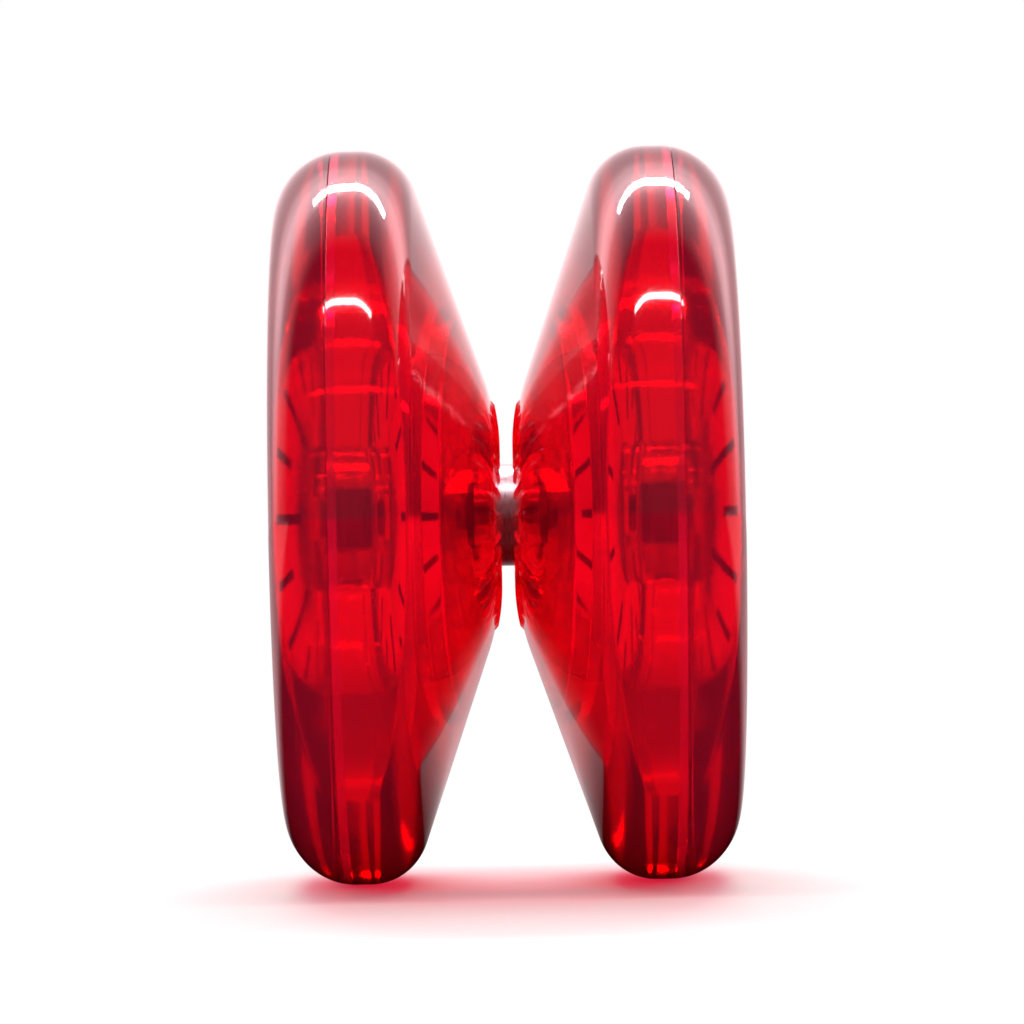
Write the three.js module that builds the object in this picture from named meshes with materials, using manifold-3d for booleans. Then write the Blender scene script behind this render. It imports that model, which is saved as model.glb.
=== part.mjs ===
// A take-apart ball-bearing yo-yo: two identical clear red mouldings with V-shaped inner walls, screwed
// together on a threaded steel axle, with a small shielded ball bearing between them for the string.
//
// Units are millimetres. The axle lies along X, +Z is up, and the origin is the middle of the string gap
// on the axle's line. Every half is drawn on the +X side, and the left one is the same half turned round Z.

import * as THREE from "three";
import { mergeVertices } from "three/addons/utils/BufferGeometryUtils.js";
import Module from "manifold-3d";

const wasm = await Module();
wasm.setup();

// ---- Driving dimensions ----

const RIM_RADIUS = 28.5;
const HALF_GAP = 0.715; // from the middle of the string gap to a half's inner wall
const FACE_X = 17.6; // edge of the outer face
const FACE_CROWN = { rise: 0.45, flatRadius: 8, kneeRise: 0.315, kneeRadius: 14.9 }; // low dome, flat middle
const SEAM_X = 13.05; // where the cover meets the body
const RUNNING_GAP = 0.05; // clearance of pieces that touch or slide

// Inner wall: flat beside the bearing, then a shallow cone, then the V that guides the string.
const FLAT_WALL_RADIUS = 6;
const THROAT = { x: 1.2, radius: 9.4, innerX: 1.06, halfBand: 1 }; // rounded over one millimetre each way
const V_SLOPE = 0.347; // axial rise per millimetre of radius
const RIM_INNER_ROUND = 4.56; // fillet from the V onto the rim
const RIM_OUTER_ROUND = { x: 12.24, radius: 22.9 }; // centre of the rim's outer quarter ellipse

// Pocket in the back of the body, with the boss that holds the nut.
const POCKET_RADIUS = 14;
const POCKET_FLOOR_X = 9.1;
const POCKET_ROUND = 0.6;
const BOSS_RADIUS = 5.6;
const BOSS_END_X = 12.9;

// Cover: a thick disc, hollowed over the pocket, with a spigot that centres it in a groove of the body and
// a post that carries the boss on, round the end of the axle.
const COVER_WALL = 1.7;
const COVER_POST = { bore: 1.9, end: 13.25 };
const SPIGOT = { inner: 25, outer: 26, depth: 0.6 };

// Ball bearing of 1/8 x 5/16 x 9/64 inch.
const BEARING = { bore: 1.5875, outer: 3.97, halfWidth: 1.785, innerEdge: 0.12, outerEdge: 0.18 };
const INNER_RACE_RADIUS = 2.4;
const OUTER_RACE_RADIUS = 3.25;
const SHIELD_SEAT = { radius: 3.56, x: 1.3 };
const PITCH_RADIUS = 2.825;
const BALL_RADIUS = 0.79;
const GROOVE_RADIUS = 0.84;
const BALLS = 7;
const CAGE = { inner: 2.56, outer: 3.1, low: -0.62, high: 1.1, pocket: 0.87, pocketDepth: 2 };
const SHIELD = { inner: 2.5, outer: 3.5, low: 1.33, high: 1.48 };
const SNAP_RING = { inner: 3.24, outer: 3.5, low: 1.52, high: 1.66, opening: Math.PI / 7 };

// Seat of the bearing in each half, with the brass spacer that clamps the inner race.
const RECESS_RADIUS = 4.2;
const RECESS_FLOOR_X = 2.1;
const RECESS_EDGE = 0.2;
const SPACER = { outer: 2.3, bore: 1.65, low: 1.8, high: 5, chamfer: 0.15 };

// Axle: 5-40 threaded rod, 1.2 inches long, with a hex socket in each end, and its two nuts.
const AXLE = { radius: 1.55, halfLength: 15.24, chamfer: 0.35, hole: 1.7 };
const SOCKET = { acrossFlats: 1.5875, depth: 2 };
const NUT = { acrossFlats: 6.35, low: 9.2, thickness: 2.9, bore: 1.6, corner: 0.35 };

// Starburst: radial ribs on the wall round the bearing, which grip the string.
const STARBURST = { ribs: 24, size: 0.25, inner: { x: 0.78, radius: 4.9 }, outer: { x: 1.16, radius: 8.8 } };

const SHELL_SIDES = 36; // sides of the large turned pieces; a flat one is at the bottom
const RACE_SIDES = 28;
const SMALL_SIDES = 24;
const CAGE_POCKET_SIDES = 10;
const BALL_SIDES = { around: 12, down: 7 };
const GROOVE_STEPS = 5;
const ROUND_STEPS = { rim: 4, shoulder: 2, face: 4, pocket: 2 };
const CUT_OVERRUN = 1; // how far a cutting tool stands clear of the surface it cuts
const MERGE_DISTANCE = 1e-4;

// ---- Shape helpers ----

// A piece turned about X from a closed profile of [x, radius] points, in an order that runs outwards
// along the low-x side and then along +X at the largest radius.
function turned(profile, sides) {
  const points = [...profile, profile[0]].map(([x, radius]) => new THREE.Vector2(radius, x));
  const geometry = new THREE.LatheGeometry(points, sides, Math.PI / sides);
  return geometry.rotateZ(-Math.PI / 2);
}

// Points of an elliptical arc in the [x, radius] plane, from one angle to another.
function arc(centreX, centreRadius, sizeX, sizeRadius, from, to, steps) {
  return Array.from({ length: steps + 1 }, (_, i) => {
    const angle = from + ((to - from) * i) / steps;
    return [centreX + sizeX * Math.cos(angle), centreRadius + sizeRadius * Math.sin(angle)];
  });
}

// A prism along X with a regular hexagon as its section.
function hexPrism(acrossFlats, low, high) {
  const corner = acrossFlats / Math.sqrt(3);
  const geometry = new THREE.CylinderGeometry(corner, corner, high - low, 6);
  return geometry.rotateZ(Math.PI / 2).translate((low + high) / 2, 0, 0);
}

function toSolid(geometry) {
  const bare = geometry.clone();
  bare.deleteAttribute("normal");
  bare.deleteAttribute("uv");
  const merged = mergeVertices(bare, MERGE_DISTANCE);
  const vertProperties = new Float32Array(merged.getAttribute("position").array);
  const triVerts = new Uint32Array(merged.index.array);
  return new wasm.Manifold(new wasm.Mesh({ numProp: 3, vertProperties, triVerts }));
}

function toGeometry(solid) {
  const mesh = solid.getMesh();
  const geometry = new THREE.BufferGeometry();
  geometry.setAttribute("position", new THREE.BufferAttribute(mesh.vertProperties, 3));
  geometry.setIndex(new THREE.BufferAttribute(mesh.triVerts, 1));
  geometry.computeVertexNormals();
  return geometry;
}

function cut(geometry, ...tools) {
  return toGeometry(tools.reduce((solid, tool) => solid.subtract(toSolid(tool)), toSolid(geometry)));
}

function join(geometry, ...others) {
  return toGeometry(others.reduce((solid, other) => solid.add(toSolid(other)), toSolid(geometry)));
}

// ---- Materials ----

const material = {
  clearRed: new THREE.MeshStandardMaterial({
    color: 0xd2001c, roughness: 0.05, transparent: true, opacity: 0.6,
  }),
  steel: new THREE.MeshStandardMaterial({ color: 0xb4b6ba, roughness: 0.22, metalness: 1 }),
  darkSteel: new THREE.MeshStandardMaterial({ color: 0x6e7074, roughness: 0.35, metalness: 1 }),
  chrome: new THREE.MeshStandardMaterial({ color: 0xdcdde0, roughness: 0.06, metalness: 1 }),
  brass: new THREE.MeshStandardMaterial({ color: 0xc9a24a, roughness: 0.28, metalness: 1 }),
};

function piece(name, geometry, look) {
  const mesh = new THREE.Mesh(geometry, look);
  mesh.name = name;
  return mesh;
}

// ---- The halves ----

// The V starts at the throat, and its line runs up to the fillet on the rim.
function wallX(radius) {
  return THROAT.x + V_SLOPE * (radius - THROAT.radius);
}

// The body's outside from the edge of the bearing recess to the seam.
function bodyOutline() {
  const turn = Math.PI / 2 - Math.atan(V_SLOPE);
  const cornerX = wallX(RIM_RADIUS);
  const tangent = RIM_INNER_ROUND * Math.tan(turn / 2);
  const fillet = arc(
    cornerX + tangent, RIM_RADIUS - RIM_INNER_ROUND, RIM_INNER_ROUND, RIM_INNER_ROUND,
    Math.PI / 2 + turn, Math.PI / 2, ROUND_STEPS.rim,
  );
  const seamAngle = Math.acos((SEAM_X - RIM_OUTER_ROUND.x) / (FACE_X - RIM_OUTER_ROUND.x));
  const shoulder = rimShoulder(Math.PI / 2, seamAngle, ROUND_STEPS.shoulder);
  return [
    [HALF_GAP + RECESS_EDGE, RECESS_RADIUS],
    [HALF_GAP, RECESS_RADIUS + RECESS_EDGE],
    [HALF_GAP, FLAT_WALL_RADIUS],
    [THROAT.innerX, THROAT.radius - THROAT.halfBand],
    [wallX(THROAT.radius + THROAT.halfBand), THROAT.radius + THROAT.halfBand],
    ...fillet,
    ...shoulder,
  ];
}

// Part of the quarter ellipse that rounds the rim into the face.
function rimShoulder(from, to, steps) {
  const { x, radius } = RIM_OUTER_ROUND;
  return arc(x, radius, FACE_X - x, RIM_RADIUS - radius, from, to, steps);
}

// One rib of the starburst: a square bar sunk in the wall with one edge proud, leaning with the wall's cone.
function starburstRib(angle) {
  const { inner, outer, size } = STARBURST;
  const lean = Math.atan((outer.x - inner.x) / (outer.radius - inner.radius));
  const length = Math.hypot(outer.x - inner.x, outer.radius - inner.radius);
  const bar = new THREE.CylinderGeometry(size, size, length, 4);
  bar.rotateY(Math.PI / 2).rotateX(Math.PI / 2).rotateY(lean);
  bar.translate((inner.x + outer.x) / 2, 0, (inner.radius + outer.radius) / 2);
  return bar.rotateX(angle);
}

function bodyGeometry() {
  const spacerHole = SPACER.outer + RUNNING_GAP;
  const pocketCorner = arc(
    POCKET_FLOOR_X + POCKET_ROUND, POCKET_RADIUS - POCKET_ROUND, POCKET_ROUND, POCKET_ROUND,
    Math.PI / 2, Math.PI, ROUND_STEPS.pocket,
  );
  const profile = [
    [SPACER.high + RUNNING_GAP, AXLE.hole],
    [SPACER.high + RUNNING_GAP, spacerHole],
    [RECESS_FLOOR_X, spacerHole],
    [RECESS_FLOOR_X, RECESS_RADIUS],
    ...bodyOutline(),
    [SEAM_X, SPIGOT.outer + RUNNING_GAP],
    [SEAM_X - SPIGOT.depth - RUNNING_GAP, SPIGOT.outer + RUNNING_GAP],
    [SEAM_X - SPIGOT.depth - RUNNING_GAP, SPIGOT.inner - RUNNING_GAP],
    [SEAM_X, SPIGOT.inner - RUNNING_GAP],
    [SEAM_X, POCKET_RADIUS],
    ...pocketCorner,
    [POCKET_FLOOR_X, BOSS_RADIUS],
    [BOSS_END_X, BOSS_RADIUS],
    [BOSS_END_X, AXLE.hole],
  ];
  const pocketFlats = NUT.acrossFlats + 2 * RUNNING_GAP;
  const nutPocket = hexPrism(pocketFlats, NUT.low - RUNNING_GAP, BOSS_END_X + CUT_OVERRUN);
  const ribs = Array.from({ length: STARBURST.ribs }, (_, i) =>
    starburstRib((2 * Math.PI * i) / STARBURST.ribs),
  );
  return cut(join(turned(profile, SHELL_SIDES), ...ribs), nutPocket);
}

function coverGeometry() {
  const low = SEAM_X + RUNNING_GAP;
  const ceilingX = FACE_X - COVER_WALL;
  const { x } = RIM_OUTER_ROUND;
  const edge = Math.acos((low - x) / (FACE_X - x));
  const hollowCorner = arc(
    ceilingX - POCKET_ROUND, POCKET_RADIUS - POCKET_ROUND, POCKET_ROUND, POCKET_ROUND,
    0, Math.PI / 2, ROUND_STEPS.pocket,
  );
  return turned(
    [
      [COVER_POST.end, COVER_POST.bore],
      [COVER_POST.end, BOSS_RADIUS],
      [ceilingX, BOSS_RADIUS],
      ...hollowCorner,
      [low, POCKET_RADIUS],
      [low, SPIGOT.inner],
      [SEAM_X - SPIGOT.depth, SPIGOT.inner],
      [SEAM_X - SPIGOT.depth, SPIGOT.outer],
      [low, SPIGOT.outer],
      ...rimShoulder(edge, 0, ROUND_STEPS.face),
      [FACE_X + FACE_CROWN.kneeRise, FACE_CROWN.kneeRadius],
      [FACE_X + FACE_CROWN.rise, FACE_CROWN.flatRadius],
      [FACE_X + FACE_CROWN.rise, 0],
      [ceilingX, 0],
      [ceilingX, COVER_POST.bore],
    ],
    SHELL_SIDES,
  );
}

// ---- Hardware ----

function nutGeometry() {
  const { acrossFlats, low, thickness, bore, corner } = NUT;
  const high = low + thickness;
  const cornerRadius = acrossFlats / Math.sqrt(3) + RUNNING_GAP;
  const chamfered = turned(
    [
      [low, bore], [low, cornerRadius - corner], [low + corner / 2, cornerRadius],
      [high - corner / 2, cornerRadius], [high, cornerRadius - corner], [high, bore],
    ],
    SMALL_SIDES,
  );
  const hexagon = toSolid(hexPrism(acrossFlats, low - CUT_OVERRUN, high + CUT_OVERRUN));
  return toGeometry(toSolid(chamfered).intersect(hexagon));
}

function spacerGeometry() {
  const { outer, bore, low, high, chamfer } = SPACER;
  return turned(
    [
      [low, bore], [low, outer - chamfer], [low + chamfer, outer],
      [high - chamfer, outer], [high, outer - chamfer], [high, bore],
    ],
    SMALL_SIDES,
  );
}

function axleGeometry() {
  const { radius, halfLength, chamfer } = AXLE;
  const rod = turned(
    [
      [-halfLength, 0], [-halfLength, radius - chamfer], [chamfer - halfLength, radius],
      [halfLength - chamfer, radius], [halfLength, radius - chamfer], [halfLength, 0],
    ],
    SMALL_SIDES,
  );
  const sockets = [-1, 1].map((side) => {
    const inside = side * (halfLength - SOCKET.depth);
    const outside = side * (halfLength + CUT_OVERRUN);
    return hexPrism(SOCKET.acrossFlats, Math.min(inside, outside), Math.max(inside, outside));
  });
  return cut(rod, ...sockets);
}

// ---- Ball bearing ----

// Half the width of a ball groove where it meets a race's shoulder.
function grooveHalfWidth(shoulderRadius) {
  return Math.sqrt(GROOVE_RADIUS ** 2 - (PITCH_RADIUS - shoulderRadius) ** 2);
}

function innerRaceGeometry() {
  const { bore, halfWidth, innerEdge: edge } = BEARING;
  const lift = Math.asin((PITCH_RADIUS - INNER_RACE_RADIUS) / GROOVE_RADIUS);
  return turned(
    [
      [-halfWidth, bore], [-halfWidth, INNER_RACE_RADIUS - edge], [edge - halfWidth, INNER_RACE_RADIUS],
      ...arc(0, PITCH_RADIUS, GROOVE_RADIUS, GROOVE_RADIUS, Math.PI + lift, 2 * Math.PI - lift, GROOVE_STEPS),
      [halfWidth - edge, INNER_RACE_RADIUS], [halfWidth, INNER_RACE_RADIUS - edge], [halfWidth, bore],
    ],
    RACE_SIDES,
  );
}

function outerRaceGeometry() {
  const { outer, halfWidth, outerEdge: edge } = BEARING;
  const lift = Math.acos(grooveHalfWidth(OUTER_RACE_RADIUS) / GROOVE_RADIUS);
  return turned(
    [
      [-halfWidth, SHIELD_SEAT.radius], [-halfWidth, outer - edge], [edge - halfWidth, outer],
      [halfWidth - edge, outer], [halfWidth, outer - edge], [halfWidth, SHIELD_SEAT.radius],
      [SHIELD_SEAT.x, SHIELD_SEAT.radius], [SHIELD_SEAT.x, OUTER_RACE_RADIUS],
      ...arc(0, PITCH_RADIUS, GROOVE_RADIUS, GROOVE_RADIUS, lift, Math.PI - lift, GROOVE_STEPS),
      [-SHIELD_SEAT.x, OUTER_RACE_RADIUS], [-SHIELD_SEAT.x, SHIELD_SEAT.radius],
    ],
    RACE_SIDES,
  );
}

function ballAngle(index) {
  return (2 * Math.PI * index) / BALLS + Math.PI / 2;
}

function ballCentre(index) {
  const angle = ballAngle(index);
  return new THREE.Vector3(0, PITCH_RADIUS * Math.cos(angle), PITCH_RADIUS * Math.sin(angle));
}

function ballGeometry(radius) {
  return new THREE.SphereGeometry(radius, BALL_SIDES.around, BALL_SIDES.down);
}

// A crown cage: a ring on one side of the balls, with a pocket for each.
function cageGeometry() {
  const { inner, outer, low, high, pocket, pocketDepth } = CAGE;
  const ring = turned([[low, inner], [low, outer], [high, outer], [high, inner]], RACE_SIDES);
  const pockets = Array.from({ length: BALLS }, (_, i) => {
    const centre = ballCentre(i);
    const hole = new THREE.CylinderGeometry(pocket, pocket, pocketDepth, CAGE_POCKET_SIDES);
    return hole.rotateX(ballAngle(i)).translate(centre.x, centre.y, centre.z);
  });
  return cut(ring, ...pockets);
}

function shieldGeometry() {
  const { inner, outer, low, high } = SHIELD;
  return turned([[low, inner], [low, outer], [high, outer], [high, inner]], RACE_SIDES);
}

// A flat open ring that springs into the outer race and keeps the shield in.
function snapRingGeometry() {
  const { inner, outer, low, high, opening } = SNAP_RING;
  const start = Math.PI / 2 + opening / 2;
  const end = Math.PI / 2 + 2 * Math.PI - opening / 2;
  const outline = new THREE.Shape();
  outline.absarc(0, 0, outer, start, end, false);
  outline.absarc(0, 0, inner, end, start, true);
  const ring = new THREE.ExtrudeGeometry(outline, {
    depth: high - low, bevelEnabled: false, curveSegments: RACE_SIDES / 2,
  });
  return ring.rotateY(Math.PI / 2).translate(low, 0, 0);
}

// ---- Assembly ----

function half(side) {
  const group = new THREE.Group();
  group.add(
    piece(`${side}_body`, bodyGeometry(), material.clearRed),
    piece(`${side}_cover`, coverGeometry(), material.clearRed),
    piece(`${side}_nut`, nutGeometry(), material.steel),
    piece(`${side}_spacer`, spacerGeometry(), material.brass),
  );
  return group;
}

function bearing() {
  const group = new THREE.Group();
  group.add(
    piece("bearing_inner_race", innerRaceGeometry(), material.chrome),
    piece("bearing_outer_race", outerRaceGeometry(), material.chrome),
    piece("bearing_cage", cageGeometry(), material.brass),
  );
  for (let i = 0; i < BALLS; i += 1) {
    const ball = piece(`ball_${i + 1}`, ballGeometry(BALL_RADIUS), material.chrome);
    ball.position.copy(ballCentre(i));
    group.add(ball);
  }
  for (const side of ["left", "right"]) {
    const seal = new THREE.Group();
    seal.add(
      piece(`${side}_shield`, shieldGeometry(), material.steel),
      piece(`${side}_snap_ring`, snapRingGeometry(), material.darkSteel),
    );
    seal.rotation.z = side === "left" ? Math.PI : 0;
    group.add(seal);
  }
  return group;
}

const rightHalf = half("right");
const leftHalf = half("left");
leftHalf.rotation.z = Math.PI;

const yoYo = new THREE.Group();
yoYo.add(leftHalf, rightHalf, piece("axle", axleGeometry(), material.darkSteel), bearing());

export default yoYo;
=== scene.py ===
"""Looks for a clear red yo-yo: smooth versions of its faceted pieces, their materials, and a studio."""

import math

import bmesh
import bpy
from mathutils import Matrix, Vector

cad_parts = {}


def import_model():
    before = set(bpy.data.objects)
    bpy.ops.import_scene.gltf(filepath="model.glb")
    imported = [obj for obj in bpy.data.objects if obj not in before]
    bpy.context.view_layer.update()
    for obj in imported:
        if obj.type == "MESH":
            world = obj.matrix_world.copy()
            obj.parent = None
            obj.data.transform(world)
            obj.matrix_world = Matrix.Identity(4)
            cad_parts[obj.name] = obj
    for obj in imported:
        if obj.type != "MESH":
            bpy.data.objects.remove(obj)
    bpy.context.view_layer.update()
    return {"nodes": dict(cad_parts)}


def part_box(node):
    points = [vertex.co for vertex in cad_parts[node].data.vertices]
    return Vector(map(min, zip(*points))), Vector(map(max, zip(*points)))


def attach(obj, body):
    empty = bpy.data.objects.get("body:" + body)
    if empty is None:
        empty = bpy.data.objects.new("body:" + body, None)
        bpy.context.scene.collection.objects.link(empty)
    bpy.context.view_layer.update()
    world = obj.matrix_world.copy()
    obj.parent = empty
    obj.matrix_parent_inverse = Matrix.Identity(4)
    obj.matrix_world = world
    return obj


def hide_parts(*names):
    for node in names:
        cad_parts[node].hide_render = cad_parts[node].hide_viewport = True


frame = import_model()

MM = 0.001
CAD_SIDES = 36  # sides of the halves' polygons in the CAD model
SEGMENTS = 240  # steps round each large piece: a multiple of 6 for the hexagons and of 24 for the ribs
SPACER_SEGMENTS = 96
RACE_SEGMENTS = 160
THREAD_SEGMENTS = 48
THREAD_STEPS = 8  # rings in each turn of the thread
SHARP_ANGLE = math.radians(26)
SIDE_NAMES = {1: "right", -1: "left"}

# ---- Sizes in millimetres: from the frame's boxes, or as in the CAD model ----


def box_mm(node):
    low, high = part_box(node)
    return [value / MM for value in low], [value / MM for value in high]


_, BODY_HIGH = box_mm("right_body")
COVER_LOW, COVER_HIGH = box_mm("right_cover")
NUT_LOW, NUT_HIGH = box_mm("right_nut")
SPACER_LOW, SPACER_HIGH = box_mm("right_spacer")
_, RACE_HIGH = box_mm("bearing_outer_race")
_, AXLE_HIGH = box_mm("axle")

RIM_RADIUS = BODY_HIGH[2] / math.cos(math.pi / CAD_SIDES)
WALL_X = 0.715  # inner wall beside the bearing
V_SLOPE = 0.347  # axial rise per millimetre of radius
THROAT_X, THROAT_RADIUS = 1.2, 9.4
FILLET = 4.56
SHOULDER_X, SHOULDER_RADIUS = 12.24, 22.9
FACE_X = 17.6  # edge of the outer face
FACE_TOP_X = COVER_HIGH[0]
COVER_WALL = 1.7
SEAM_X = BODY_HIGH[0]
SEAM_GAP = 0.05
SEAM_EDGE = 0.04
SMALL_ROUND, MEDIUM_ROUND = 0.2, 0.3  # edges that the mould leaves soft
POCKET_RADIUS, POCKET_X, POCKET_ROUND = 14.0, 9.1, 0.6
CEILING_X = FACE_X - COVER_WALL
BOSS_RADIUS, BOSS_X = 5.6, 12.9
POST_END, POST_BORE = 13.25, 1.9
SPIGOT_INNER, SPIGOT_OUTER, SPIGOT_X = 25.0, 26.0, COVER_LOW[0]
RECESS_X, RECESS_RADIUS, RECESS_EDGE = 2.1, 4.2, 0.2
AXLE_HOLE = 1.7
RIB_COUNT, RIB_HEIGHT, RIB_START, RIB_END = 24, 0.22, 4.9, 8.8
NUT_FLAT = NUT_HIGH[1]
NUT_BORE, NUT_CORNER, NUT_CHAMFER, NUT_COUNTERSINK = 1.6, 0.15, 0.3, 0.25
SPACER_BORE, SPACER_ROUND, SPACER_CLEARANCE = 1.65, 0.12, 0.1
THREAD_PITCH, THREAD_DEPTH = 0.635, 0.28
SOCKET_FLAT, SOCKET_DEPTH = 0.794, 2
RACE_EDGE = 0.18
RACE_BORE, SHIELD_SEAT_RADIUS, SHIELD_SEAT_X = 3.25, 3.56, 1.3
BALL_PITCH, GROOVE_RADIUS = 2.825, 0.84
GROOVE_LIFT = 30.4  # degrees from the axle's direction to the groove's edge
TICK_COUNT = 18
TICK_RADII = (8.0, 13.3)
TICK_WIDTH, TICK_THICKNESS, TICK_GAP = 0.7, 0.03, 0.01

# ---- Geometry ----


def arc(centre_x, centre_radius, size_x, size_radius, start, end, steps):
    """Points of an elliptical arc in the (x, radius) plane, angles in degrees from +x towards +radius."""
    points = []
    for i in range(steps + 1):
        angle = math.radians(start + (end - start) * i / steps)
        point = (centre_x + size_x * math.cos(angle), centre_radius + size_radius * math.sin(angle))
        points.append(point)
    return points


def round_edge(centre_x, centre_radius, size, start, end, steps=4):
    return arc(centre_x, centre_radius, size, size, start, end, steps)


def hex_radius(apothem, angle):
    return apothem / math.cos((angle + math.pi / 6) % (math.pi / 3) - math.pi / 6)


def turned(name, profile, material, side=1, segments=SEGMENTS, closed=True, lift=None):
    """A piece turned about X from (x, radius) points, or from (x, apothem, "hex") points of a hexagon."""
    verts, rings = [], []
    for point in profile:
        x, radius = point[:2]
        if radius == 0:
            rings.append([len(verts)] * segments)
            verts.append((side * x * MM, 0, 0))
            continue
        ring = []
        for j in range(segments):
            angle = 2 * math.pi * j / segments
            reach = hex_radius(radius, angle) if len(point) > 2 else radius
            along, reach = lift(x, reach, j) if lift else (x, reach)
            across, up = reach * math.cos(angle), reach * math.sin(angle)
            ring.append(len(verts))
            verts.append((side * along * MM, side * across * MM, up * MM))
        rings.append(ring)
    pairs = list(zip(rings, rings[1:] + rings[:1])) if closed else list(zip(rings, rings[1:]))
    faces = []
    for low, high in pairs:
        for j in range(segments):
            k = (j + 1) % segments
            corners = list(dict.fromkeys((low[j], low[k], high[k], high[j])))
            if len(corners) > 2:
                faces.append(corners)
    mesh = bpy.data.meshes.new(name)
    mesh.from_pydata(verts, [], faces)
    work = bmesh.new()
    work.from_mesh(mesh)
    bmesh.ops.recalc_face_normals(work, faces=work.faces)
    work.to_mesh(mesh)
    work.free()
    mesh.shade_smooth()
    mesh.set_sharp_from_angle(angle=SHARP_ANGLE)
    piece = bpy.data.objects.new(name, mesh)
    bpy.context.collection.objects.link(piece)
    mesh.materials.append(material)
    return piece


def v_wall(radius):
    return THROAT_X + V_SLOPE * (radius - THROAT_RADIUS)


THROAT_CURVE = (5.4, 8.0, 10.6)  # radii where the throat's curve starts, is pulled to, and meets the V
THROAT_STEPS = 16
RIB_RISE = 0.15


def inner_wall():
    """From the bearing's recess out along the starburst and round the throat to the start of the V."""
    start, bend, end = THROAT_CURVE
    corners = ((WALL_X, start), (WALL_X, bend), (v_wall(end), end))
    middle = RECESS_EDGE * 0.3
    points = [(WALL_X + RECESS_EDGE, RECESS_RADIUS), (WALL_X + middle, RECESS_RADIUS + middle)]
    points += [(WALL_X, RECESS_RADIUS + RECESS_EDGE), (WALL_X, RIB_START), (WALL_X, RIB_START + RIB_RISE)]
    for i in range(THROAT_STEPS + 1):
        t = i / THROAT_STEPS
        weights = ((1 - t) ** 2, 2 * t * (1 - t), t * t)
        point = [sum(weight * corner[k] for weight, corner in zip(weights, corners)) for k in (0, 1)]
        points.append(tuple(point))
    return points


def starburst(x, radius, segment):
    """Ribs on the inner wall: triangular ridges, evenly spaced, with blunt ends."""
    if x > THROAT_X or not RIB_START < radius < RIB_END:
        return x, radius
    spacing = SEGMENTS // RIB_COUNT
    offset = min(segment % spacing, spacing - segment % spacing)
    return x - RIB_HEIGHT * max(0.0, 1 - offset / 2), radius


def rim_outline():
    turn = 90 - math.degrees(math.atan(V_SLOPE))
    tangent = FILLET * math.tan(math.radians(turn / 2))
    centre_x = v_wall(RIM_RADIUS) + tangent
    fillet = arc(centre_x, RIM_RADIUS - FILLET, FILLET, FILLET, 90 + turn, 90, 28)
    return fillet + shoulder(90, shoulder_angle(SEAM_X - SEAM_EDGE), 6)


def shoulder_angle(x):
    return math.degrees(math.acos((x - SHOULDER_X) / (FACE_X - SHOULDER_X)))


def shoulder(start, end, steps):
    size_x, size_radius = FACE_X - SHOULDER_X, RIM_RADIUS - SHOULDER_RADIUS
    return arc(SHOULDER_X, SHOULDER_RADIUS, size_x, size_radius, start, end, steps)


def body(side, material):
    groove_x = SPIGOT_X - SEAM_GAP
    rim = rim_outline()
    profile = [
        (SPACER_HIGH[0] + SEAM_GAP, AXLE_HOLE),
        (SPACER_HIGH[0] + SEAM_GAP, SPACER_HIGH[2] + SPACER_CLEARANCE),
        (RECESS_X, SPACER_HIGH[2] + SPACER_CLEARANCE),
        (RECESS_X, RECESS_RADIUS),
        *inner_wall(),
        *rim,
        (SEAM_X, rim[-1][1] - SEAM_EDGE),
        (SEAM_X, SPIGOT_OUTER + SEAM_GAP),
        (groove_x, SPIGOT_OUTER + SEAM_GAP),
        (groove_x, SPIGOT_INNER - SEAM_GAP),
        (SEAM_X, SPIGOT_INNER - SEAM_GAP),
        *round_edge(SEAM_X - SMALL_ROUND, POCKET_RADIUS + SMALL_ROUND, SMALL_ROUND, 0, -90),
        *round_edge(POCKET_X + POCKET_ROUND, POCKET_RADIUS - POCKET_ROUND, POCKET_ROUND, 90, 180, 8),
        *round_edge(POCKET_X + MEDIUM_ROUND, BOSS_RADIUS + MEDIUM_ROUND, MEDIUM_ROUND, 180, 270),
        *round_edge(BOSS_X - SMALL_ROUND, BOSS_RADIUS - SMALL_ROUND, SMALL_ROUND, 90, 0),
        (BOSS_X, NUT_FLAT + SEAM_GAP, "hex"),
        (NUT_LOW[0] - SEAM_GAP, NUT_FLAT + SEAM_GAP, "hex"),
        (NUT_LOW[0] - SEAM_GAP, AXLE_HOLE),
    ]
    return turned(f"{SIDE_NAMES[side]}_clear_body", profile, material, side, lift=starburst)


CROWN_STEPS = 12


def cover(side, material):
    low = SEAM_X + SEAM_GAP
    rise = FACE_TOP_X - FACE_X
    steps = [i / CROWN_STEPS for i in range(CROWN_STEPS - 1, 0, -1)]
    crown = [(FACE_TOP_X - rise * t**2, SHOULDER_RADIUS * t) for t in steps]
    profile = [
        (POST_END, POST_BORE),
        *round_edge(POST_END + SMALL_ROUND, BOSS_RADIUS - SMALL_ROUND, SMALL_ROUND, 180, 90),
        *round_edge(CEILING_X - MEDIUM_ROUND, BOSS_RADIUS + MEDIUM_ROUND, MEDIUM_ROUND, -90, 0),
        *round_edge(CEILING_X - POCKET_ROUND, POCKET_RADIUS - POCKET_ROUND, POCKET_ROUND, 0, 90, 8),
        (low, POCKET_RADIUS),
        (low, SPIGOT_INNER),
        (SPIGOT_X, SPIGOT_INNER),
        (SPIGOT_X, SPIGOT_OUTER),
        (low, SPIGOT_OUTER),
        *shoulder_with_edge(low),
        *crown,
        (FACE_TOP_X, 0),
        (CEILING_X, 0),
        (CEILING_X, POST_BORE),
    ]
    return turned(f"{SIDE_NAMES[side]}_clear_cover", profile, material, side)


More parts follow.
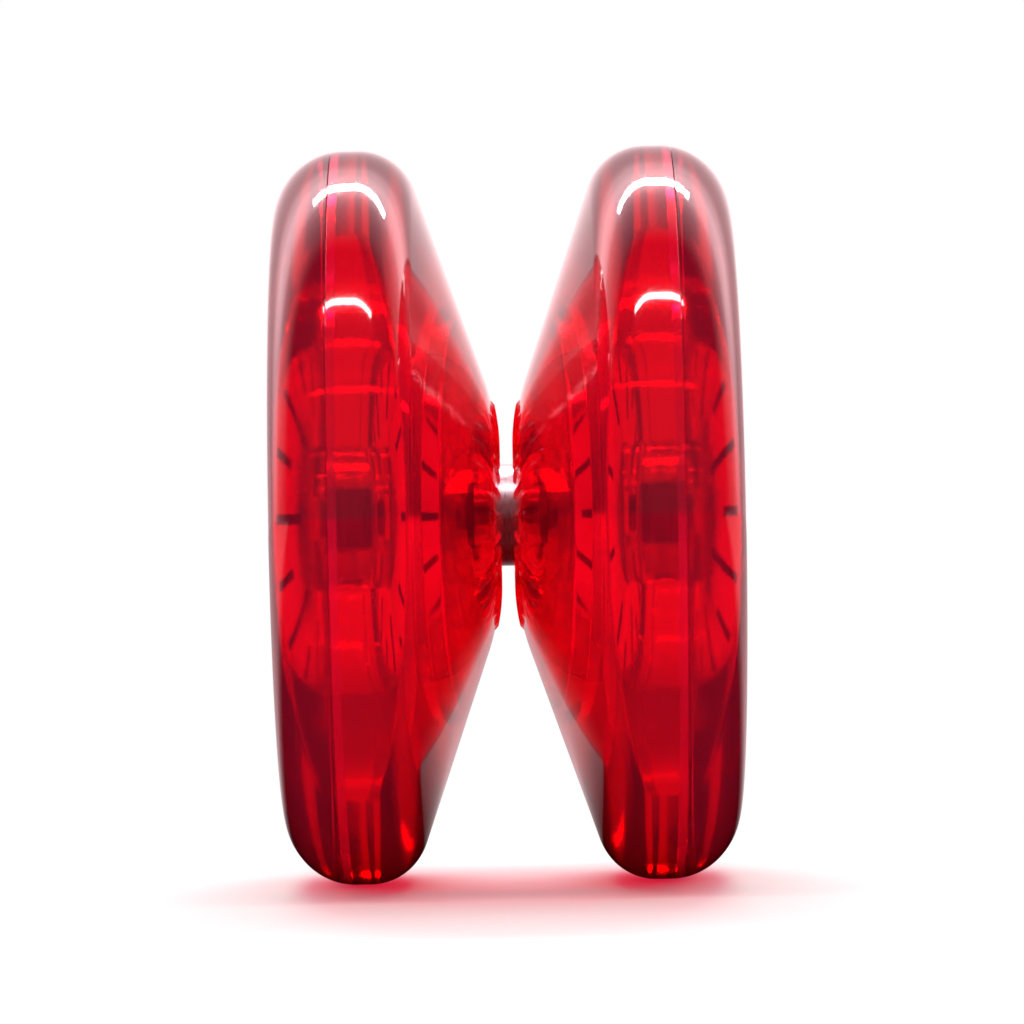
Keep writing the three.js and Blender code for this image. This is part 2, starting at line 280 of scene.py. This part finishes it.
def shoulder_with_edge(low):
    outline = shoulder(shoulder_angle(low + SEAM_EDGE), 0, 32)
    return [(low, outline[0][1] - SEAM_EDGE), *outline]


def nut(side, material):
    low, high = NUT_LOW[0], NUT_HIGH[0]
    profile = [(low, NUT_BORE), (low, NUT_FLAT - NUT_CORNER), (low + NUT_CHAMFER, NUT_FLAT, "hex")]
    profile += [(high - NUT_CHAMFER, NUT_FLAT, "hex"), (high, NUT_FLAT - NUT_CORNER)]
    profile += [(high, NUT_BORE + NUT_COUNTERSINK), (high - NUT_COUNTERSINK, NUT_BORE)]
    return turned(f"{SIDE_NAMES[side]}_hex_nut", profile, material, side)


def spacer(side, material):
    low, high, outer = SPACER_LOW[0], SPACER_HIGH[0], SPACER_HIGH[2]
    edge = SPACER_ROUND
    profile = [(low, SPACER_BORE), *round_edge(low + edge, outer - edge, edge, 180, 90)]
    profile += [*round_edge(high - edge, outer - edge, edge, 90, 0), (high, SPACER_BORE)]
    return turned(f"{SIDE_NAMES[side]}_seat_sleeve", profile, material, side, segments=SPACER_SEGMENTS)


def thread(x, radius, segment):
    """A rolled thread, fading out at the rod's ends."""
    turn = (x / THREAD_PITCH - segment / THREAD_SEGMENTS) % 1.0
    ramp = min(1.0, (AXLE_HIGH[0] - abs(x)) / THREAD_PITCH)
    return x, radius - THREAD_DEPTH * ramp * abs(2 * turn - 1)


def axle(material):
    end, radius = AXLE_HIGH[0], AXLE_HIGH[2]
    rings = round(2 * end / THREAD_PITCH * THREAD_STEPS)
    rod = [(-end + 2 * end * i / rings, radius) for i in range(rings + 1)]
    bottom = end - SOCKET_DEPTH
    socket = [(end, SOCKET_FLAT, "hex"), (bottom, SOCKET_FLAT, "hex"), (bottom, 0)]
    profile = [(-x, *rest) for x, *rest in reversed(socket)] + rod + socket

    def shape(x, reach, segment):
        return thread(x, reach, segment) if reach >= radius else (x, reach)

    return turned("threaded_axle", profile, material, segments=THREAD_SEGMENTS, closed=False, lift=shape)


def outer_race(material):
    half, outer = RACE_HIGH[0], RACE_HIGH[2]
    edge, seat = RACE_EDGE, SHIELD_SEAT_RADIUS
    lift = GROOVE_LIFT
    profile = [(-half, seat), *round_edge(-half + edge, outer - edge, edge, 180, 90, 6)]
    profile += [*round_edge(half - edge, outer - edge, edge, 90, 0, 6), (half, seat)]
    profile += [(SHIELD_SEAT_X, seat), (SHIELD_SEAT_X, RACE_BORE)]
    profile += round_edge(0, BALL_PITCH, GROOVE_RADIUS, lift, 180 - lift, 12)
    profile += [(-SHIELD_SEAT_X, RACE_BORE), (-SHIELD_SEAT_X, seat)]
    return turned("bearing_ring", profile, material, segments=RACE_SEGMENTS)


def ticks(side, material):
    """A generic ring of short radial ticks inked on the inside of the cover."""
    work = bmesh.new()
    low = CEILING_X - TICK_GAP - TICK_THICKNESS
    for i in range(TICK_COUNT):
        turn = Matrix.Rotation(2 * math.pi * (i + 0.5) / TICK_COUNT, 3, "X")
        reach = TICK_RADII[0] if i % 2 else (TICK_RADII[0] + TICK_RADII[1]) / 2
        corners = []
        for x in (low, low + TICK_THICKNESS):
            for radius in (reach, TICK_RADII[1]):
                for across in (-TICK_WIDTH / 2, TICK_WIDTH / 2):
                    point = turn @ Vector((x, across, radius))
                    corners.append(work.verts.new((side * point.x * MM, side * point.y * MM, point.z * MM)))
        for face in ((0, 1, 3, 2), (4, 6, 7, 5), (0, 4, 5, 1), (2, 3, 7, 6), (0, 2, 6, 4), (1, 5, 7, 3)):
            work.faces.new([corners[k] for k in face])
    bmesh.ops.recalc_face_normals(work, faces=work.faces)
    mesh = bpy.data.meshes.new("ticks")
    work.to_mesh(mesh)
    work.free()
    mesh.materials.append(material)
    piece = bpy.data.objects.new(f"{SIDE_NAMES[side]}_inked_ticks", mesh)
    bpy.context.collection.objects.link(piece)
    return piece


# ---- Materials ----


def new_material(name):
    material = bpy.data.materials.new(name)
    material.use_nodes = True
    nodes = material.node_tree.nodes
    return material, nodes, material.node_tree.links, nodes["Principled BSDF"]


def noise(nodes, links, scale, detail=4, stretch=(1, 1, 1)):
    """Noise in object space, with its scale per millimetre."""
    coordinates = nodes.new("ShaderNodeTexCoord")
    mapping = nodes.new("ShaderNodeMapping")
    mapping.inputs["Scale"].default_value = stretch
    texture = nodes.new("ShaderNodeTexNoise")
    texture.inputs["Scale"].default_value = scale / MM
    texture.inputs["Detail"].default_value = detail
    links.new(coordinates.outputs["Object"], mapping.inputs["Vector"])
    links.new(mapping.outputs["Vector"], texture.inputs["Vector"])
    return texture


def map_range(nodes, links, source, low, high, to_low, to_high):
    node = nodes.new("ShaderNodeMapRange")
    node.inputs["From Min"].default_value = low
    node.inputs["From Max"].default_value = high
    node.inputs["To Min"].default_value = to_low
    node.inputs["To Max"].default_value = to_high
    links.new(source, node.inputs["Value"])
    return node.outputs["Result"]


def combine(nodes, links, operation, first, second):
    """One number worked out from two."""
    node = nodes.new("ShaderNodeMath")
    node.operation = operation
    links.new(first, node.inputs[0])
    links.new(second, node.inputs[1])
    return node.outputs["Value"]


def add_bump(nodes, links, shader, height, strength, distance):
    bump = nodes.new("ShaderNodeBump")
    bump.inputs["Strength"].default_value = strength
    bump.inputs["Distance"].default_value = distance * MM
    links.new(height, bump.inputs["Height"])
    links.new(bump.outputs["Normal"], shader.inputs["Normal"])


def mirror_rays(nodes, links):
    """1 for light that reached this point by a reflection, 0 for refracted, scattered and camera light."""
    path = nodes.new("ShaderNodeLightPath")
    mirrored = nodes.new("ShaderNodeMath")
    mirrored.operation = "SUBTRACT"
    mirrored.use_clamp = True
    links.new(path.outputs["Is Glossy Ray"], mirrored.inputs[0])
    links.new(path.outputs["Is Transmission Ray"], mirrored.inputs[1])
    return mirrored.outputs["Value"]


PLASTIC_HAZE = (0.97, 0.04, 0.2, 1)
PLASTIC_CLEARNESS = 0.94
# painted pink sheen: tints the plastic's reflections pink instead of white
PLASTIC_PAINTED_PINK_SHEEN = (1.0, 0.6, 0.66, 1)
PLASTIC_IOR = 1.58
PLASTIC_ROUGHNESS = (0.05, 0.11)
PLASTIC_DEPTH_COLOR = (0.959, 0.0, 0.56, 1)
PLASTIC_DEPTH_DENSITY = 400  # per metre
SHADOW_TINT = (0.915, 0.895, 0.90, 1)  # left of the light at each surface that it crosses
LATHE_STRETCH = (6, 1, 1)
LINE_SHADE = 0.72
POLISH_SPREAD = 0.12


def clear_red():
    """Clear plastic that reddens with depth, with a little haze, a polished skin, dust and fine scuffs, and a
    painted pink sheen in its reflections.
    """
    material, nodes, links, shader = new_material("clear_red_plastic")
    shader.inputs["Base Color"].default_value = PLASTIC_HAZE
    # painted pink sheen on the reflections
    shader.inputs["Specular Tint"].default_value = PLASTIC_PAINTED_PINK_SHEEN
    shader.inputs["Transmission Weight"].default_value = PLASTIC_CLEARNESS
    shader.inputs["IOR"].default_value = PLASTIC_IOR
    dust = noise(nodes, links, 3.5, detail=3)
    roughness = map_range(nodes, links, dust.outputs["Fac"], 0.35, 0.75, *PLASTIC_ROUGHNESS)
    links.new(roughness, shader.inputs["Roughness"])
    shader.inputs["Coat Weight"].default_value = 0.6
    shader.inputs["Coat Roughness"].default_value = 0.012
    scuffs = noise(nodes, links, 2.2, detail=6, stretch=(0.25, 1, 1))
    add_bump(nodes, links, shader, scuffs.outputs["Fac"], 0.05, 0.05)
    absorption = nodes.new("ShaderNodeVolumeAbsorption")
    absorption.inputs["Color"].default_value = PLASTIC_DEPTH_COLOR
    absorption.inputs["Density"].default_value = PLASTIC_DEPTH_DENSITY
    output = nodes["Material Output"]
    links.new(absorption.outputs["Volume"], output.inputs["Volume"])
    path = nodes.new("ShaderNodeLightPath")
    tint = nodes.new("ShaderNodeBsdfTransparent")
    tint.inputs["Color"].default_value = SHADOW_TINT
    shading = combine(nodes, links, "MAXIMUM", path.outputs["Is Shadow Ray"], path.outputs["Is Diffuse Ray"])
    pick = nodes.new("ShaderNodeMixShader")
    links.new(shading, pick.inputs["Fac"])
    links.new(shader.outputs["BSDF"], pick.inputs[1])
    links.new(tint.outputs["BSDF"], pick.inputs[2])
    links.new(pick.outputs["Shader"], output.inputs["Surface"])
    return material


def metal(name, color, roughness, grain):
    """Turned or ground metal: the colour and the polish vary along fine lines round the axle."""
    material, nodes, links, shader = new_material(name)
    lines = noise(nodes, links, grain, detail=5, stretch=LATHE_STRETCH)
    ramp = nodes.new("ShaderNodeValToRGB")
    ramp.color_ramp.elements[0].color = (*[channel * LINE_SHADE for channel in color], 1)
    ramp.color_ramp.elements[1].color = (*color, 1)
    ramp.color_ramp.elements[0].position = 0.3
    ramp.color_ramp.elements[1].position = 0.62
    links.new(lines.outputs["Fac"], ramp.inputs["Fac"])
    links.new(ramp.outputs["Color"], shader.inputs["Base Color"])
    rough = map_range(nodes, links, lines.outputs["Fac"], 0.3, 0.7, roughness, roughness + POLISH_SPREAD)
    links.new(rough, shader.inputs["Roughness"])
    shader.inputs["Metallic"].default_value = 1
    add_bump(nodes, links, shader, lines.outputs["Fac"], 0.2, 0.02)
    return material


def ink():
    """Matt black, slightly mottled."""
    material, nodes, links, shader = new_material("black_ink")
    grain = noise(nodes, links, 6)
    tone = nodes.new("ShaderNodeValToRGB")
    tone.color_ramp.elements[0].color = (0.004, 0.003, 0.003, 1)
    tone.color_ramp.elements[1].color = (0.02, 0.012, 0.012, 1)
    links.new(grain.outputs["Fac"], tone.inputs["Fac"])
    links.new(tone.outputs["Color"], shader.inputs["Base Color"])
    shader.inputs["Roughness"].default_value = 0.6
    return material


# ---- Assembly ----

RED = clear_red()
STEEL = metal("blackened_steel", (0.12, 0.12, 0.13), 0.3, 0.9)
DARK_STEEL = metal("oiled_steel", (0.08, 0.08, 0.085), 0.35, 1.2)
BEARING_STEEL = metal("ground_bearing_steel", (0.82, 0.83, 0.85), 0.3, 1.6)
BRASS = metal("turned_brass", (0.80, 0.58, 0.25), 0.2, 1.0)
INK = ink()


def place(piece, carrier, slot, *nodes):
    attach(piece, carrier)
    if nodes:
        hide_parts(*nodes)


for side, name in SIDE_NAMES.items():
    half = f"{name}_half"
    place(body(side, RED), half, "clear_red", f"{name}_body")
    place(cover(side, RED), half, "clear_red", f"{name}_cover")
    place(ticks(side, INK), half, "dark_steel")
    place(nut(side, STEEL), half, "steel", f"{name}_nut")
    seat = "right_seat" if side == 1 else half
    place(spacer(side, BRASS), seat, "brass", f"{name}_spacer")
place(axle(DARK_STEEL), "left_half", "dark_steel", "axle")
place(outer_race(BEARING_STEEL), "bearing_outer", "bearing_steel", "bearing_outer_race")

CAD_FINISHES = {"bearing_inner_race": BEARING_STEEL, "bearing_cage": BRASS}
CAD_FINISHES.update({f"ball_{i}": BEARING_STEEL for i in range(1, 8)})
CAD_FINISHES.update({f"{name}_shield": STEEL for name in SIDE_NAMES.values()})
CAD_FINISHES.update({f"{name}_snap_ring": DARK_STEEL for name in SIDE_NAMES.values()})
for node, material in CAD_FINISHES.items():
    carried = frame["nodes"][node].data
    carried.materials.clear()
    carried.materials.append(material)

# ---- Studio: white floor, bright surroundings behind, two strip lights above, a fill, and the camera ----

FLOOR_Z = -RIM_RADIUS * MM
FLOOR_SIZE = 12.0
FLOOR_WHITE = (0.74, 0.74, 0.74, 1)
FLOOR_FAR = (0.06, 0.15)  # metres from the middle over which the floor turns plain bright
FLOOR_BEHIND = (0.028, 0.05)  # the same, behind the toy
FLOOR_GLOW, FLOOR_GLOW_SEEN = 1.7, 1.0  # its brightness for other light, and for the camera
# The floor as reflections see it: a painted pink glow with painted shade, dark in front of the middle and up
# to 0.02 m behind, full by 0.08 m behind
FLOOR_MIRRORED, FLOOR_MIRRORED_GLOW = (0.02, 0.08), 0.6
ROOM_TURN, ROOM_GLOW = (-0.6, 0.5), (0.3, 1.45)  # from the room in front to the backdrop

# What mirrored light sees: its brightness by how far a ray heads away from the camera, its colour, and
# how much darker it is at the sides, where a studio has no softbox.
SOFTBOX = (
    (0.05, 0.02), (0.09, 0.1), (0.19, 0.5), (0.36, 1.1),
    (0.44, 1.6), (0.59, 3.0), (0.73, 1.8), (0.88, 0.7),
)
SOFTBOX_PEAK = 5.0
SOFTBOX_END = 1.3
SOFTBOX_SIDE, SOFTBOX_LOW = (0.55, 0.72), (0.0, 0.35)  # where it fades sideways, unless high enough
DARK_SIDES = 0.35
MIRROR_TINT = (1.0, 0.74, 0.77, 1)

STRIP_ANGLE = math.radians(64)
STRIP_DISTANCE = 0.16
STRIP_SIZE, STRIP_POWER = (0.14, 0.011), 0.22
TOP_STRIP_ANGLE = math.radians(65)
TOP_STRIP_DISTANCE = 0.184
TOP_STRIP_SIZE, TOP_STRIP_POWER = (0.15, 0.007), 0.11
FILL_PLACE = Vector((0, 0.95, 0.72))
FILL_SIZE, FILL_POWER = (0.7, 0.4), 9.5

CAMERA_LENS = 185
CAMERA_DISTANCE = 0.41
CAMERA_ROLL = math.radians(1.11)
CAMERA_AIM = Vector((0.37, 0, 0.23)) * MM


def floor():
    """Matt white round the toy, where its shadow falls, and plain bright further off and behind. Reflections
    see a painted pink glow instead, with painted shade: dark in front of the toy and just behind it.
    """
    mesh = bpy.data.meshes.new("floor")
    reach = FLOOR_SIZE / 2
    corners = [(x * reach, y * reach, FLOOR_Z) for x, y in ((-1, -1), (1, -1), (1, 1), (-1, 1))]
    mesh.from_pydata(corners, [], [(0, 1, 2, 3)])
    material, nodes, links, shader = new_material("white_floor")
    shader.inputs["Base Color"].default_value = FLOOR_WHITE
    shader.inputs["Roughness"].default_value = 0.9
    shader.inputs["Specular IOR Level"].default_value = 0.0
    coordinates = nodes.new("ShaderNodeTexCoord")
    distance = nodes.new("ShaderNodeVectorMath")
    distance.operation = "LENGTH"
    links.new(coordinates.outputs["Object"], distance.inputs[0])
    split = nodes.new("ShaderNodeSeparateXYZ")
    links.new(coordinates.outputs["Object"], split.inputs["Vector"])
    far = map_range(nodes, links, distance.outputs["Value"], *FLOOR_FAR, 0.0, 1.0)
    behind = map_range(nodes, links, split.outputs["Y"], *FLOOR_BEHIND, 0.0, 1.0)
    away = combine(nodes, links, "MAXIMUM", far, behind)
    path = nodes.new("ShaderNodeLightPath")
    glow = nodes.new("ShaderNodeEmission")
    seen_directly = path.outputs["Is Camera Ray"]
    brightness = map_range(nodes, links, seen_directly, 0.0, 1.0, FLOOR_GLOW, FLOOR_GLOW_SEEN)
    links.new(brightness, glow.inputs["Strength"])
    blend = nodes.new("ShaderNodeMixShader")
    links.new(away, blend.inputs["Fac"])
    links.new(shader.outputs["BSDF"], blend.inputs[1])
    links.new(glow.outputs["Emission"], blend.inputs[2])
    # painted reflection of the floor: a pink glow, with painted shade near and in front of the toy
    painted_mirrored_floor = nodes.new("ShaderNodeEmission")
    painted_mirrored_floor.inputs["Color"].default_value = MIRROR_TINT
    mirrored = map_range(nodes, links, split.outputs["Y"], *FLOOR_MIRRORED, 0.0, FLOOR_MIRRORED_GLOW)
    links.new(mirrored, painted_mirrored_floor.inputs["Strength"])
    seen = nodes.new("ShaderNodeMixShader")
    links.new(mirror_rays(nodes, links), seen.inputs["Fac"])
    links.new(blend.outputs["Shader"], seen.inputs[1])
    links.new(painted_mirrored_floor.outputs["Emission"], seen.inputs[2])
    links.new(seen.outputs["Shader"], nodes["Material Output"].inputs["Surface"])
    mesh.materials.append(material)
    ground = bpy.data.objects.new("floor", mesh)
    bpy.context.collection.objects.link(ground)


def world():
    """White to the camera. Refracted and scattered light finds it bright behind the toy and dim in front, and
    mirrored light finds softboxes behind."""
    studio = bpy.data.worlds.new("studio")
    bpy.context.scene.world = studio
    studio.use_nodes = True
    nodes, links = studio.node_tree.nodes, studio.node_tree.links
    background = nodes["Background"]
    coordinates = nodes.new("ShaderNodeTexCoord")
    split = nodes.new("ShaderNodeSeparateXYZ")
    links.new(coordinates.outputs["Generated"], split.inputs["Vector"])
    softbox = nodes.new("ShaderNodeFloatCurve")
    curve = softbox.mapping.curves[0]
    curve.points[0].location = (0.0, 0.0)
    curve.points[1].location = (1.0, SOFTBOX_END / SOFTBOX_PEAK)
    for stop, level in SOFTBOX:
        curve.points.new(stop, level / SOFTBOX_PEAK)
    softbox.mapping.update()
    links.new(split.outputs["Y"], softbox.inputs["Value"])
    peak = map_range(nodes, links, softbox.outputs["Value"], 0.0, 1.0, 0.0, SOFTBOX_PEAK)
    sideways = nodes.new("ShaderNodeMath")
    sideways.operation = "ABSOLUTE"
    links.new(split.outputs["X"], sideways.inputs[0])
    middle = map_range(nodes, links, sideways.outputs["Value"], *SOFTBOX_SIDE, 1.0, 0.0)
    upward = map_range(nodes, links, split.outputs["Z"], *SOFTBOX_LOW, DARK_SIDES, 1.0)
    mirrored = combine(nodes, links, "MULTIPLY", peak, combine(nodes, links, "MAXIMUM", middle, upward))
    refracted = map_range(nodes, links, split.outputs["Y"], *ROOM_TURN, *ROOM_GLOW)
    path = nodes.new("ShaderNodeLightPath")
    is_mirrored = mirror_rays(nodes, links)
    tint = nodes.new("ShaderNodeMixRGB")
    tint.inputs["Color1"].default_value = (1, 1, 1, 1)
    tint.inputs["Color2"].default_value = MIRROR_TINT
    links.new(is_mirrored, tint.inputs["Fac"])
    links.new(tint.outputs["Color"], background.inputs["Color"])
    bent = nodes.new("ShaderNodeMix")
    links.new(is_mirrored, bent.inputs["Factor"])
    links.new(refracted, bent.inputs["A"])
    links.new(mirrored, bent.inputs["B"])
    mix = nodes.new("ShaderNodeMix")
    links.new(path.outputs["Is Camera Ray"], mix.inputs["Factor"])
    links.new(bent.outputs["Result"], mix.inputs["A"])
    mix.inputs["B"].default_value = 1.0
    links.new(mix.outputs["Result"], background.inputs["Strength"])


def lamp(name, location, size, power, mirrored=True):
    """A rectangular lamp aimed at the toy. Without mirrored, reflections and refractions don't show it."""
    light = bpy.data.lights.new(name, "AREA")
    light.shape = "RECTANGLE"
    light.size, light.size_y = size
    light.energy = power
    lamp_object = bpy.data.objects.new(name, light)
    lamp_object.location = location
    lamp_object.rotation_euler = Vector(location).to_track_quat("Z", "Y").to_euler()
    lamp_object.visible_glossy = mirrored
    lamp_object.visible_transmission = mirrored
    bpy.context.collection.objects.link(lamp_object)


def camera():
    data = bpy.data.cameras.new("camera")
    data.sensor_width = 36
    data.lens = CAMERA_LENS
    data.clip_start = 0.01
    eye = bpy.data.objects.new("camera", data)
    eye.location = CAMERA_AIM + Vector((0, -CAMERA_DISTANCE, 0))
    eye.rotation_euler = (math.pi / 2, CAMERA_ROLL, 0)
    bpy.context.collection.objects.link(eye)
    bpy.context.scene.camera = eye


floor()
world()
behind = Vector((0, math.cos(STRIP_ANGLE), math.sin(STRIP_ANGLE)))
lamp("strip", behind * STRIP_DISTANCE, STRIP_SIZE, STRIP_POWER)
in_front = Vector((0, -math.cos(TOP_STRIP_ANGLE), math.sin(TOP_STRIP_ANGLE)))
lamp("top_strip", in_front * TOP_STRIP_DISTANCE, TOP_STRIP_SIZE, TOP_STRIP_POWER)
lamp("back_fill", FILL_PLACE, FILL_SIZE, FILL_POWER, mirrored=False)
camera()
bpy.context.scene.view_settings.view_transform = "Standard"
